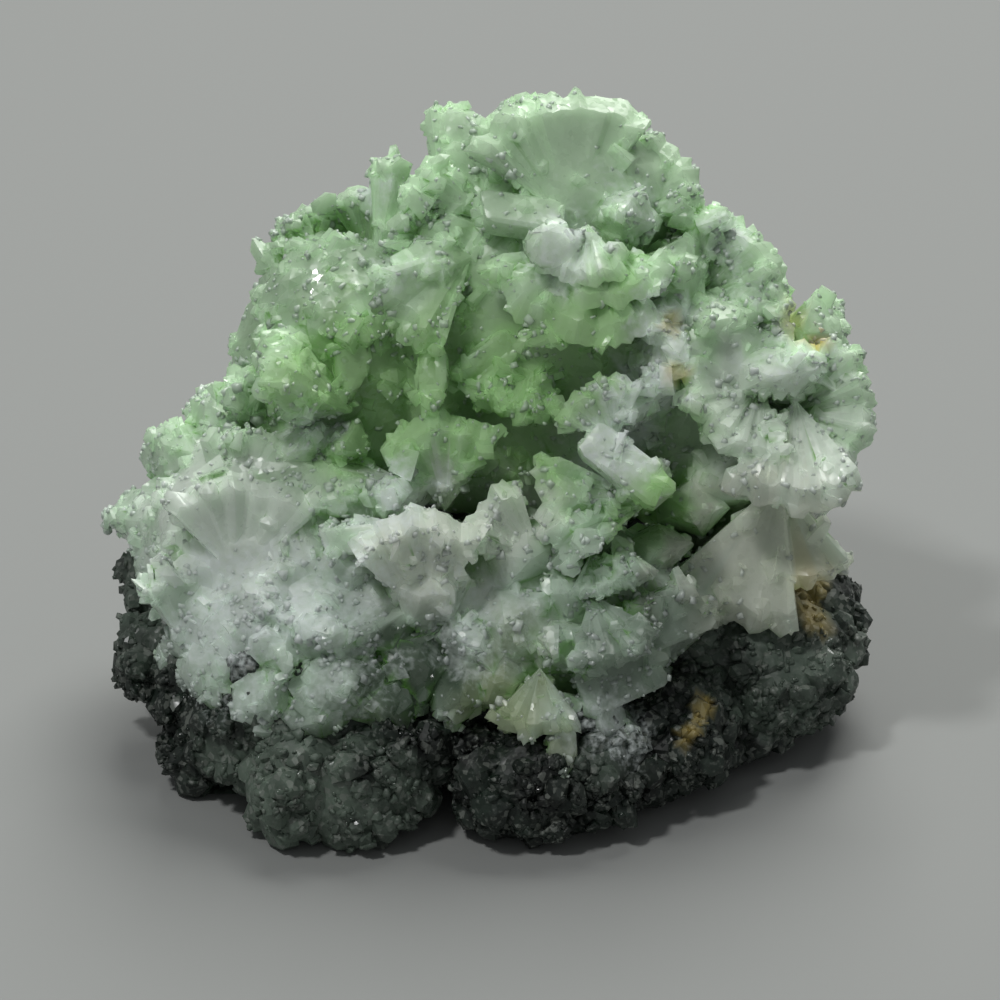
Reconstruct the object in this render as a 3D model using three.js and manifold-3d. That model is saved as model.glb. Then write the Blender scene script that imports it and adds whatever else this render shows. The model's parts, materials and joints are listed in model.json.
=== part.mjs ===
// Rough prehnite: a pale green crystal crust on a dark rock matrix
import * as THREE from 'three';
import { mergeVertices } from 'three/addons/utils/BufferGeometryUtils.js';
import Module from 'manifold-3d';

const wasm = await Module();
wasm.setup();

// Slopes that carry the crystals: the side they face, how far they lean back, their lowest point
const FRONT_SLOPE = { facing: 0, leanBack: 30, foot: [0, 0, 0] };
const BACK_SLOPE = { facing: 180, leanBack: 10, foot: [0, 47.4, 0] };
const LEFT_SLOPE = { facing: -90, leanBack: 12, foot: [-31, 0, 0] };
const RIGHT_SLOPE = { facing: 90, leanBack: 8, foot: [31, 0, 0] };

// Crystal form
const ROOT_DEPTH = 4.5;
const RIM_WOBBLE = 0.07;
const RIB_WOBBLE = 0.16;
const FAN_STEP_ANGLE = 25;
const FAN_FACE_REACH = 0.84;
const FAN_BACK_REACH = 0.35;
const FAN_ROOT_LEVEL = -0.45;
const FAN_CORNER_CUT = 0.16;
const LOBE_CORNERS = 6;
const LOBE_MIDDLE_WIDTH = 0.9;
const LOBE_TAPER = 0.3;
const BLADE_TIP = [0.9, 0.88];
const FRONT_INSET = 0.72;
const BACK_INSET = 0.66;
const CHUNK_FILL = 0.58;
const CHUNK_ROUGHNESS = 0.14;
const SWELL_WAVES = [5, 4, 6];

// Rock and joint
const GAP = 0.3;
const LUMP_ROUGHNESS = 0.08;
const LUMP_DETAIL = 1;
const FOOT_LEVEL = 0;
const CUTTER_SIZE = 200;
const MERGE_TOLERANCE = 0.2;

// Shift that brings the middle of the underside to the origin
const CENTRE_X = 0.23;
const CENTRE_Y = 23.13;

// Crystals on a slope, each row: kind, across, uphill, outward, length, width,
// thickness, heading, lean, roll (a fan's width is its opening angle)
const SUMMIT = [
  ['fan', 6.8, 51.2, 0, 10.4, 92, 3.6, 101, -12, 8],
  ['fan', 8.6, 50.4, -3, 9.3, 82, 4.4, 47, -14, -12],
  ['fan', 1.8, 51.2, -3, 9, 84, 4.6, 133, -16, 10],
  ['chunk', -2.6, 50.2, -2.6, 7.5, 5.5, 4.5, 165, 0, 10],
  ['blade', 5.8, 51, -0.8, 7, 3, 2.4, 172, 6, 30],
  ['fan', 7.8, 51, 1.6, 5.6, 92, 2.4, 258, 14, 6],
  ['lobe', 7.6, 49.8, 2.6, 5.2, 3.8, 2.2, 196, 8, -6],
  ['chunk', 10.8, 52, 0.8, 5, 4.4, 2.6, 50, -8, 0],
  ['fan', 8, 49.6, -1, 9.2, 116, 2.8, 252, 22, 0],
  ['fan', 9.6, 49.6, 0.2, 6.2, 118, 2.2, 272, 24, 8],
  ['lobe', 5.4, 41.8, 1.6, 3.4, 1.9, 1.5, 180, 8, 0],
];

const CENTRE_LEFT = [
  ['fan', -1, 49.2, -1.4, 9.4, 58, 4, 222, 6, -8],
  ['chunk', -4.6, 47.4, -0.6, 6.4, 5.2, 3.6, 20, 6, 6],
  ['fan', -5.6, 50, -3.4, 2.4, 150, 1.8, 128, 10, 0],
  ['lobe', -4.4, 43, -1.6, 7.4, 2.8, 1.5, 267, 6, 12],
  ['blade', -2.4, 38.8, -3.2, 5.8, 2.2, 1.4, 36, 8, 20],
  ['blade', -1.8, 37.2, -3.4, 5.6, 2.4, 1.4, 50, 6, -16],
  ['blade', -0.6, 36.2, -3.6, 4.6, 2, 1.4, 66, 4, 14],
  ['chunk', 0.4, 42.6, -4.6, 6.4, 5.4, 4, 70, 0, 0],
  ['chunk', 4.8, 38.2, -4, 7, 7.4, 4, 100, 0, 0],
  ['chunk', -1.6, 43.2, -4.6, 6, 6, 5, 20, 0, 0],
  ['fan', -3.6, 27.8, -2.6, 8, 82, 3.4, 92, 4, 0],
  ['fan', 3.4, 40.6, -3, 5.6, 80, 2.6, 262, 8, 12],
];

const LEFT_SHOULDER = [
  ['fan', -9.6, 48, -11, 6.6, 84, 4.4, 88, -6, 0],
  ['fan', -12.6, 47, -12, 6.4, 104, 4.6, 128, -4, 10],
  ['fan', -13.4, 46.2, -12, 5.4, 96, 4.6, 186, 0, 14],
  ['chunk', -15.6, 43.6, -12.4, 6.4, 6.4, 5, 80, 0, 10],
  ['chunk', -9.2, 47, -7.6, 6.6, 6.2, 4.4, 40, 0, 0],
  ['lobe', -9.2, 51.4, -10, 3, 3.4, 2, 92, 0, 0],
  ['chunk', -16.6, 39.6, -11.6, 6.6, 6.6, 5, 120, 0, 14],
  ['lobe', -11.6, 36.4, -4.6, 6.6, 3.3, 1.3, 84, 4, 10],
  ['chunk', -14.6, 37, -7.6, 5, 5, 4, 100, 0, 0],
  ['fan', -17.6, 34.4, -8.6, 5.6, 100, 4, 100, 0, 12],
  ['chunk', -21, 35, -11.6, 5.4, 5.4, 5, 60, 0, 16],
  ['chunk', -24.4, 32.4, -12.6, 5.4, 5, 5, 90, 0, 18],
];

const LEFT_FACE = [
  ['fan', -20.2, 22.4, -2.4, 8.6, 96, 3.6, 88, 0, 6],
  ['scallop', -19.8, 30, -5.4, 4.6, 92, 2, 84, 0, 0],
  ['chunk', -15.4, 33, -4.8, 7, 4.2, 3.6, 10, 0, 0],
  ['chunk', -11.8, 33.2, -4.2, 4.4, 4.2, 3.2, 60, 0, 0],
  ['chunk', -12.4, 28.8, -3.2, 9, 7.4, 4, 15, 0, 0],
  ['chunk', -8.2, 29, -0.8, 5.4, 3.8, 3, 20, 6, 0],
  ['blade', -9, 25.8, -0.6, 4.6, 2.3, 3, 186, 0, 0],
  ['fan', -4.8, 18.8, 1.4, 9.3, 70, 5, 97, 4, 0],
  ['chunk', -4.8, 20.8, 1.8, 5.6, 6.4, 4, 90, 4, 0],
  ['chunk', -11.2, 23.4, -1, 7, 6, 3.4, 60, 0, 0],
  ['chunk', -17.6, 20.6, -0.4, 8.6, 7, 3.4, 20, 0, 6],
  ['chunk', -13.6, 18.2, 0.8, 8.6, 6.4, 3.6, 160, 0, 0],
  ['fan', -23, 15.4, -3.6, 9.2, 58, 3.4, 103, -2, 16],
  ['chunk', -21.4, 15, -1.6, 7.6, 6, 4, 110, 0, 12],
  ['chunk', -17.6, 13.4, 0.2, 7.6, 6.6, 4, 60, 0, 4],
  ['chunk', -12, 13.8, 1.4, 8.4, 5.6, 4, 170, 0, 0],
  ['chunk', -6.4, 15.4, 0, 8, 7.4, 4, 70, 0, 0],
  ['chunk', -26, 27, -11, 5.6, 6, 5, 80, 0, 20],
  ['chunk', -26, 22.8, -9, 5, 5, 4, 40, 0, 20],
  ['chunk', -9, 18.6, 0.4, 7, 5.6, 3.6, 30, 0, 0],
  ['chunk', -17, 16.8, 0.2, 7, 5, 3.6, 130, 0, 0],
  ['chunk', -8.4, 12, 0.8, 6.4, 5, 3.6, 100, 0, 0],
  ['chunk', -22.8, 19.4, -2.6, 6, 6, 4, 20, 0, 8],
  ['chunk', -14.4, 11, 0.4, 6.6, 5, 4, 150, 0, 0],
];

const CENTRE_FACE = [
  ['fan', 4.4, 23.4, 0, 7.6, 62, 3, 137, 6, 0],
  ['chunk', 3.4, 24.6, 0, 8.6, 6, 4, 30, 0, 0],
  ['fan', 13.4, 29.2, 0, 9.9, 54, 4.4, 191, 10, 8],
  ['blade', 7.8, 33.8, 1.8, 7.8, 3.2, 2, 322, 4, -14],
  ['chunk', 12.6, 29.6, 1.6, 3.6, 3.2, 2.4, 60, 6, 0],
  ['scallop', 10, 33.4, 1.4, 5.2, 104, 2.2, 112, 4, 0],
  ['chunk', 13.6, 43.6, 0.6, 4.2, 3, 2.8, 10, 6, 0],
  ['chunk', 14.6, 41, 1, 5.4, 3.4, 3, 92, 6, 0],
  ['chunk', 13.2, 38, 1.2, 4.6, 3.4, 3, 40, 6, 0],
  ['chunk', 10.8, 35.8, 1.4, 4.8, 2.8, 3, 28, 6, 0],
  ['fan', 8, 24.6, 0.8, 3.6, 88, 1.8, 292, 8, 0],
  ['fan', 10.6, 25.2, 0.4, 3.6, 88, 1.8, 276, 8, 0],
  ['chunk', 1.8, 19.2, 0.6, 8, 7.4, 4, 30, 0, 0],
  ['chunk', 6.2, 21, 0.4, 6.6, 5.6, 4, 120, 0, 0],
  ['fan', 8, 21.4, 1, 6.4, 76, 3.4, 292, 6, 0],
  ['chunk', -1.6, 17.4, 1.2, 5.4, 4.4, 3.4, 110, 4, 0],
  ['chunk', 0.8, 13.8, 1, 5.4, 4.6, 3, 80, 4, 0],
  ['fan', 4, 15.6, 0.8, 5.8, 72, 3, 266, 10, 0],
  ['lobe', 6, 12.4, 0.6, 6, 2.6, 2.6, 266, 0, 0],
  ['chunk', -2.4, 13.2, 0.6, 5.4, 5, 3.6, 70, 0, 0],
  ['chunk', 5.4, 17.4, 0.8, 6, 5, 3.6, 20, 0, 0],
  ['blade', 11, 18.2, -1, 7, 4.4, 1.8, 22, -6, 10],
  ['blade', 7.2, 13.2, 0, 7.2, 4, 1.8, 24, -6, 8],
  ['chunk', 9, 11, 0, 4.4, 4.2, 3.4, 50, 0, 0],
  ['chunk', 11, 9.8, -1.6, 5.4, 3.8, 3.4, 100, -6, 0],
];

const RIGHT_FACE = [
  ['chunk', 15, 47, -0.8, 6.6, 5.6, 3.6, 80, 0, 0],
  ['fan', 16, 45.2, -3.4, 7.6, 98, 4.4, 42, -4, -10],
  ['fan', 18.2, 42.4, -2.6, 6.2, 76, 3.6, 2, 0, -8],
  ['chunk', 18, 43, -0.4, 7.4, 5.4, 3.8, 10, 0, 0],
  ['chunk', 25.6, 42, -7.6, 6.4, 4.6, 4.6, 84, 0, -14],
  ['fan', 22.2, 38.4, -1.6, 7, 112, 3.6, 222, 14, 0],
  ['fan', 24.6, 37.2, -1.8, 9.4, 78, 4, 268, 10, 0],
  ['fan', 24.6, 36.2, -3.4, 6.4, 124, 4.4, 6, 0, -10],
  ['chunk', 22.8, 39, 0, 8, 4.6, 3.6, 10, 4, 0],
  ['fan', 23.6, 30.4, -4.6, 12.8, 56, 3.4, 248, -14, -4],
  ['fan', 24.4, 29.6, -6, 8.2, 60, 3.6, 282, -12, -12],
  ['chunk', 16, 28.4, -4.6, 5, 5.4, 3.4, 70, 0, 0],
  ['chunk', 18.4, 32, -5.6, 5, 5, 3.4, 30, 0, 0],
  ['chunk', 13.6, 24.8, -2.8, 5.4, 4, 3, 10, 0, 0],
  ['chunk', 17.6, 37.4, -4.2, 5, 5.6, 3.4, 80, 0, 0],
];

const BACK_FACE = [
  ['fan', -5, 45.4, -3.4, 7.4, 104, 4.4, 84, -14, 0],
  ['fan', 4, 44, -3.6, 7.4, 96, 4.4, 128, -12, 0],
  ['fan', -13, 40.6, -3.6, 7.6, 100, 4.6, 42, -10, 0],
  ['fan', -4.6, 42.6, -1.4, 8.4, 112, 3.6, 262, 14, 0],
  ['chunk', 1, 39, -0.6, 7.4, 6.4, 5, 30, 0, 0],
  ['fan', 10.6, 38.6, -3.6, 7.6, 104, 4.4, 146, -8, 0],
  ['chunk', 8, 35, -0.6, 7.6, 6.6, 5, 100, 0, 0],
  ['chunk', -14, 35, -1.8, 7.6, 6.8, 5, 60, 0, 0],
  ['fan', -5.4, 33, 0.2, 8.6, 100, 4.4, 238, 6, 0],
  ['fan', 3, 33, 0.2, 8, 100, 4.4, 290, 6, 0],
  ['chunk', -21, 34, -5, 8, 7, 5, 80, 0, 0],
  ['fan', -19, 31, -3, 8, 108, 4.6, 282, 0, 10],
  ['fan', 15.4, 33, -4.6, 8, 104, 4.6, 206, 0, -10],
  ['chunk', 10.4, 27.4, 0, 8.4, 7.4, 5, 10, 0, 0],
  ['chunk', -1.2, 26, 1.2, 9, 7.2, 5, 150, 0, 0],
  ['chunk', -11.6, 26.6, 0, 8.6, 7.4, 5, 40, 0, 0],
  ['fan', 17.6, 27.4, -4.2, 7.4, 96, 4.6, 250, 0, -12],
  ['chunk', -21.4, 24, -4.6, 8.4, 7.6, 5, 70, 0, 10],
];

const LEFT_SIDE = [
  ['fan', -22, 30.6, -7, 7, 104, 4.4, 96, -6, 0],
  ['chunk', -27.6, 35, -8.4, 8, 7.6, 5, 70, 0, 0],
  ['fan', -30, 33, -8, 7.4, 100, 4.4, 262, 6, 0],
  ['chunk', -22.4, 24.4, -3.8, 7.6, 6.6, 5, 20, 0, 0],
  ['fan', -33.4, 26, -6, 7.2, 96, 4.4, 286, 0, 0],
  ['chunk', -18, 20, -2.6, 6.4, 6, 4, 50, 0, 0],
];

const RIGHT_SIDE = [
  ['chunk', 23, 35, -4.4, 7.4, 6.8, 5, 50, 0, 0],
  ['fan', 27, 33, -4.2, 7.6, 104, 4.6, 80, -6, 0],
  ['fan', 27.4, 32.4, -3.6, 8, 98, 4.4, 264, 4, 0],
  ['chunk', 32.4, 29, -4, 8, 7.2, 5, 110, 0, 0],
  ['chunk', 22.6, 25, -3, 7.4, 6.4, 5, 80, 0, 0],
];

// Heart of the crust and the rock, each row: x, y, z and the three half-sizes
const HEART_LUMPS = [
  [4, 31, 27, 15, 9.5, 19],
  [7, 31.6, 43, 8.4, 5, 6.6],
  [-12, 31, 27, 9, 8, 12],
  [-15, 21, 16, 10, 9, 8],
  [19, 29, 22, 10, 8, 13],
  [2, 17, 13, 17, 8, 8],
  [-14, 13.8, 11.8, 12, 5.4, 7.4],
  [3, 13.8, 11.6, 10, 5.4, 7.4],
  [-20.6, 22, 16.6, 7.6, 8.6, 8],
  [3, 34, 24, 19, 9, 14],
];

const ROCK_LUMPS = [
  [1, 27, 9, 25, 17, 10],
  [-10, 36, 11.6, 12.6, 9.8, 11.4],
  [11, 35.6, 11, 12, 9.6, 10.8],
  [-15.4, 4.6, 4.4, 4.2, 4, 5.2],
  [-11, 4.2, 3.8, 4.8, 3.9, 5],
  [-7.8, 5.4, 4.6, 3, 3.8, 4.6],
  [-12.4, 9.4, 5, 7, 5.6, 5.4],
  [3, 5, 4, 5.8, 4.8, 4.8],
  [8.4, 7, 4.6, 4.6, 5, 5],
  [-3.6, 10.6, 6, 4.4, 5, 4.4],
  [-17.4, 15, 7, 9.6, 9.5, 8],
  [22, 20.5, 6.4, 8, 8, 6.4],
  [27, 24.5, 7.2, 4, 5.6, 5.2],
  [14, 13, 4.8, 7, 7, 5.2],
  [-27.2, 19.8, 7, 3.6, 4, 4],
  [-27.8, 24, 11, 2.6, 3, 3],
  [-22.4, 12.8, 2.8, 4.6, 4, 3],
];

function wobble(seed) {
  const value = Math.sin(seed * 12.9898 + 4.1414) * 43758.5453;
  return 2 * (value - Math.floor(value)) - 1;
}

// Directions of a slope: across it, up it and out of it
function slopeDirections({ facing, leanBack }) {
  const turn = new THREE.Matrix4().makeRotationZ(THREE.MathUtils.degToRad(facing));
  turn.multiply(new THREE.Matrix4().makeRotationX(THREE.MathUtils.degToRad(-leanBack)));
  const across = new THREE.Vector3();
  const outward = new THREE.Vector3();
  const uphill = new THREE.Vector3();
  turn.extractBasis(across, outward, uphill);
  return { across, uphill, outward: outward.negate() };
}

// A crystal's frame: x along its growth, y to its side, z out of its face
function growthFrame(slope, place, heading, lean, roll) {
  const { across, uphill, outward } = slopeDirections(slope);
  const turn = THREE.MathUtils.degToRad(heading);
  const tilt = THREE.MathUtils.degToRad(lean);
  const flat = across.clone().multiplyScalar(Math.cos(turn)).addScaledVector(uphill, Math.sin(turn));
  const along = flat.clone().multiplyScalar(Math.cos(tilt)).addScaledVector(outward, Math.sin(tilt));
  const face = outward.clone().multiplyScalar(Math.cos(tilt)).addScaledVector(flat, -Math.sin(tilt));
  face.applyAxisAngle(along, THREE.MathUtils.degToRad(roll));
  const side = new THREE.Vector3().crossVectors(face, along);
  const spot = new THREE.Vector3(...slope.foot).addScaledVector(across, place[0]);
  spot.addScaledVector(uphill, place[1]).addScaledVector(outward, place[2]);
  return new THREE.Matrix4().makeBasis(along, side, face).setPosition(spot);
}

function geometryFrom(points, faces) {
  const geometry = new THREE.BufferGeometry();
  geometry.setAttribute('position', new THREE.Float32BufferAttribute(points.flat(), 3));
  geometry.setIndex(faces.flat());
  return geometry;
}

// A fan: a sector that opens from its root, with a bevelled, uneven rim and a back like a cone
function fanGeometry(length, opening, thickness, depth, seed) {
  const steps = Math.max(3, Math.round(opening / FAN_STEP_ANGLE));
  const backTip = [length * FAN_BACK_REACH, 0, -thickness / 2 - depth];
  const points = [[0, 0, thickness * FAN_ROOT_LEVEL], backTip];
  for (let i = 0; i <= steps; i += 1) {
    const angle = THREE.MathUtils.degToRad((i / steps - 0.5) * opening);
    const corner = 1 - FAN_CORNER_CUT * Math.abs((2 * i) / steps - 1) ** 3;
    const reach = length * corner * (1 + RIM_WOBBLE * wobble(seed + i));
    const rib = 1 + RIB_WOBBLE * wobble(seed * 3 + i);
    const [x, y] = [reach * Math.cos(angle), reach * Math.sin(angle)];
    points.push([x * FAN_FACE_REACH, y * FAN_FACE_REACH, (thickness / 2) * rib], [x, y, 0]);
  }
  const faces = [];
  for (let i = 0; i < steps; i += 1) {
    const [front, rim] = [2 + 2 * i, 3 + 2 * i];
    faces.push([0, front, front + 2], [front, rim, rim + 2], [front, rim + 2, front + 2]);
    faces.push([rim, 1, rim + 2]);
  }
  const last = 2 + 2 * steps;
  faces.push([0, 1, 3], [0, 3, 2], [0, last + 1, 1], [0, last, last + 1]);
  return geometryFrom(points, faces);
}

// A plate between two outlines: the face is inset so that its sides slope
function plateGeometry(outline, thickness, depth) {
  const count = outline.length;
  const middle = outline.reduce((sum, [x]) => sum + x, 0) / count;
  const inset = ([x, y], share, z) => [middle + (x - middle) * share, y * share, z];
  const levels = [
    outline.map((corner) => inset(corner, BACK_INSET, -thickness / 2 - depth)),
    outline.map((corner) => inset(corner, 1, 0)),
    outline.map((corner) => inset(corner, FRONT_INSET, thickness / 2)),
  ];
  const faces = [];
  for (let i = 0; i < count; i += 1) {
    const next = (i + 1) % count;
    for (const base of [0, count]) {
      faces.push([base + i, base + next, base + count + next]);
      faces.push([base + i, base + count + next, base + count + i]);
    }
    if (i > 0 && i < count - 1) {
      faces.push([0, i + 1, i], [2 * count, 2 * count + i, 2 * count + i + 1]);
    }
  }
  return geometryFrom(levels.flat(), faces);
}

function lobeOutline(length, width) {
  return Array.from({ length: LOBE_CORNERS }, (_, i) => {
    const angle = ((i + 0.5) / LOBE_CORNERS) * 2 * Math.PI;
    const swell = LOBE_MIDDLE_WIDTH + LOBE_TAPER * Math.cos(angle);
    return [(length / 2) * (1 + Math.cos(angle)), (width / 2) * Math.sin(angle) * swell];
  });
}

function bladeOutline(length, width) {
  const half = width / 2;
  const [lower, upper] = BLADE_TIP.map((share) => share * length);
  return [[0, -half], [lower, -half], [length, 0], [upper, half], [0, half]];
}

function swellAt(spot, seed) {
  const [across, along, upright] = SWELL_WAVES;
  const sides = Math.sin(across * spot.x + seed) * Math.sin(along * spot.y + 2 * seed);
  return sides + Math.cos(upright * spot.z + 3 * seed);
}

// A ball of flat facets with gentle swells, stretched to its half-sizes
function ballGeometry(detail, halfSizes, roughness, seed) {
  const geometry = new THREE.IcosahedronGeometry(1, detail);
  const spots = geometry.attributes.position;
  const spot = new THREE.Vector3();
  for (let i = 0; i < spots.count; i += 1) {
    spot.fromBufferAttribute(spots, i);
    spot.multiplyScalar(1 + roughness * swellAt(spot, seed)).multiply(halfSizes);
    spots.setXYZ(i, spot.x, spot.y, spot.z);
  }
  return geometry;
}

// A chunk: a broken crystal block that goes down to its root
function chunkGeometry(length, width, thickness, seed) {
  const depth = thickness / 2 + ROOT_DEPTH;
  const halfSizes = new THREE.Vector3(length * CHUNK_FILL, width * CHUNK_FILL, depth);
  const geometry = ballGeometry(0, halfSizes, CHUNK_ROUGHNESS, seed);
  return geometry.translate(0, 0, thickness / 2 - depth);
}

function crystalGeometry(kind, length, width, thickness, seed) {
  if (kind === 'fan') return fanGeometry(length, width, thickness, ROOT_DEPTH, seed);
  if (kind === 'scallop') return fanGeometry(length, width, thickness, 0, seed);
  if (kind === 'lobe') return plateGeometry(lobeOutline(length, width), thickness, 0);
  if (kind === 'blade') return plateGeometry(bladeOutline(length, width), thickness, 0);
  return chunkGeometry(length, width, thickness, seed);
}

function crystal(slope, row, seed) {
  const [kind, across, uphill, outward, length, width, thickness, heading, lean, roll] = row;
  const geometry = crystalGeometry(kind, length, width, thickness, seed);
  return geometry.applyMatrix4(growthFrame(slope, [across, uphill, outward], heading, lean, roll));
}

function crystalsOn(slope, rows, seed) {
  return rows.map((row, index) => solid(crystal(slope, row, seed + index * 7)));
}

function lump([x, y, z, ...halfSizes], growth) {
  const half = new THREE.Vector3(...halfSizes).addScalar(growth);
  return ballGeometry(LUMP_DETAIL, half, LUMP_ROUGHNESS, x + y).translate(x, y, z);
}

function solid(geometry) {
  geometry.deleteAttribute('normal');
  geometry.deleteAttribute('uv');
  const merged = mergeVertices(geometry, 1e-4);
  const vertProperties = new Float32Array(merged.attributes.position.array);
  const triVerts = new Uint32Array(merged.index.array);
  return new wasm.Manifold(new wasm.Mesh({ numProp: 3, vertProperties, triVerts }));
}

function join(solids) {
  return solids.reduce((whole, next) => whole.add(next));
}

// The outer skin alone: tiny pockets between crystals are filled
function biggest(body) {
  const skins = body.decompose();
  return skins.reduce((best, next) => (next.volume() > best.volume() ? next : best));
}

function cutFlat(body, level) {
  const block = new THREE.BoxGeometry(CUTTER_SIZE, CUTTER_SIZE, CUTTER_SIZE);
  return body.subtract(solid(block.translate(0, 0, level - CUTTER_SIZE / 2)));
}

function rock(growth) {
  const body = cutFlat(join(ROCK_LUMPS.map((row) => solid(lump(row, growth)))), FOOT_LEVEL - growth);
  return biggest(body.simplify(MERGE_TOLERANCE));
}

function crust() {
  const front = [SUMMIT, CENTRE_LEFT, LEFT_SHOULDER, LEFT_FACE, CENTRE_FACE, RIGHT_FACE].flat();
  const body = join([
    ...HEART_LUMPS.map((row) => solid(lump(row, 0))),
    ...crystalsOn(FRONT_SLOPE, front, 1),
    ...crystalsOn(BACK_SLOPE, BACK_FACE, 2),
    ...crystalsOn(LEFT_SLOPE, LEFT_SIDE, 3),
    ...crystalsOn(RIGHT_SLOPE, RIGHT_SIDE, 4),
  ]);
  return biggest(body.subtract(rock(GAP)).simplify(MERGE_TOLERANCE));
}

function meshFrom(body, name, material) {
  const { vertProperties, triVerts } = body.getMesh();
  const geometry = new THREE.BufferGeometry();
  geometry.setAttribute('position', new THREE.BufferAttribute(vertProperties, 3));
  geometry.setIndex(new THREE.BufferAttribute(triVerts, 1));
  geometry.translate(-CENTRE_X, -CENTRE_Y, 0);
  const mesh = new THREE.Mesh(geometry, material);
  mesh.name = name;
  return mesh;
}

const prehniteMaterial = new THREE.MeshStandardMaterial({ color: 0x9dbb94, roughness: 0.35, metalness: 0 });
const rockMaterial = new THREE.MeshStandardMaterial({ color: 0x3a443c, roughness: 0.75, metalness: 0 });

const group = new THREE.Group();
group.name = 'rough_prehnite';
group.add(meshFrom(rock(0), 'matrix', rockMaterial));
group.add(meshFrom(crust(), 'prehnite', prehniteMaterial));

export default group;
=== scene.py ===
# %% [markdown]
# # Rough prehnite
# This specimen is a steep mound of pale green crystals that grew on dark rock. Prehnite
# grows as thin tablets that open like a fan from one root, so its surface is a heap of
# fans, blocks and blades, frosted white where they are broken. We lay the same crystals
# as in the solid model, join them into one skin together with thousands of smaller ones,
# and colour the skin by where it is, with a painted shade of deep green in the hollows
# and pale on the open faces.

# %% Load the solid model
import json
import math
import bpy
import numpy as np
from mathutils import Matrix, Vector, noise
from mathutils.bvhtree import BVHTree
from mathutils.kdtree import KDTree

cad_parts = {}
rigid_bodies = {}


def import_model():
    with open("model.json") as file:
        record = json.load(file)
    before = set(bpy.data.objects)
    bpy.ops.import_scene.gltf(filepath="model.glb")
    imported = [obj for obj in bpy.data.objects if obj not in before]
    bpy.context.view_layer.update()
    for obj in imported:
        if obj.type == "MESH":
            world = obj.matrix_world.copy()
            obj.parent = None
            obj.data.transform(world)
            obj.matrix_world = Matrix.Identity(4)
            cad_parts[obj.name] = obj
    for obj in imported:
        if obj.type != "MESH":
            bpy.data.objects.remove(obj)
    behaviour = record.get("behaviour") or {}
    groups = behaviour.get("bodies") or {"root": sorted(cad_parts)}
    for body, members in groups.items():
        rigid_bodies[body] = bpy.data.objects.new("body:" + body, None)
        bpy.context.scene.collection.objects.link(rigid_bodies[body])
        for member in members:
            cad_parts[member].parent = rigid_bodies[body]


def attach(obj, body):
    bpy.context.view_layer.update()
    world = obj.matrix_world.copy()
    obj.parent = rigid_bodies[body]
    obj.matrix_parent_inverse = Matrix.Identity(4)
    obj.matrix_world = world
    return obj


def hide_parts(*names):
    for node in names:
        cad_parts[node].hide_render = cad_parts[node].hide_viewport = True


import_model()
bpy.context.view_layer.update()
bpy.ops.object.select_all(action="DESELECT")
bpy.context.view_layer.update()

# %% [markdown]
# ## Places on a slope
# Mineral crusts are easiest to describe along the slope they sit on: how far across, how
# far uphill and how far out. The front slope leans back by 30 degrees. Everything is
# made in millimetres, because the tools work well at that size, and shrunk at the end.

# %% Slopes
MM = 0.001
FRONT_SLOPE = {"facing": 0, "lean_back": 30, "foot": (0, 0, 0)}
BACK_SLOPE = {"facing": 180, "lean_back": 10, "foot": (0, 47.4, 0)}
LEFT_SLOPE = {"facing": -90, "lean_back": 12, "foot": (-31, 0, 0)}
RIGHT_SLOPE = {"facing": 90, "lean_back": 8, "foot": (31, 0, 0)}
CENTRE = Vector((0.23, 23.13, 0))


def slope_axes(slope):
    turn = Matrix.Rotation(math.radians(slope["facing"]), 3, "Z")
    lean = turn @ Matrix.Rotation(math.radians(-slope["lean_back"]), 3, "X")
    return lean.col[0].copy(), lean.col[2].copy(), -lean.col[1]


def slope_point(slope, across, uphill, outward):
    x, up, out = slope_axes(slope)
    return Vector(slope["foot"]) + x * across + up * uphill + out * outward - CENTRE


def growth_frame(slope, place, heading, lean, roll):
    x, up, out = slope_axes(slope)
    turn, tilt = math.radians(heading), math.radians(lean)
    flat = x * math.cos(turn) + up * math.sin(turn)
    along = flat * math.cos(tilt) + out * math.sin(tilt)
    face = out * math.cos(tilt) - flat * math.sin(tilt)
    face = Matrix.Rotation(math.radians(roll), 3, along) @ face
    turned = Matrix((along, face.cross(along), face)).transposed().to_4x4()
    return Matrix.Translation(slope_point(slope, *place)) @ turned


print("front slope axes:", slope_axes(FRONT_SLOPE))

# %% [markdown]
# ## The crystals, one row each
# The rows say what grows where: kind, across, uphill, outward, length, width, thickness,
# heading, lean and roll. A fan's width is its opening angle. The order follows the
# specimen from the summit down, then its back and sides.

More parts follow.
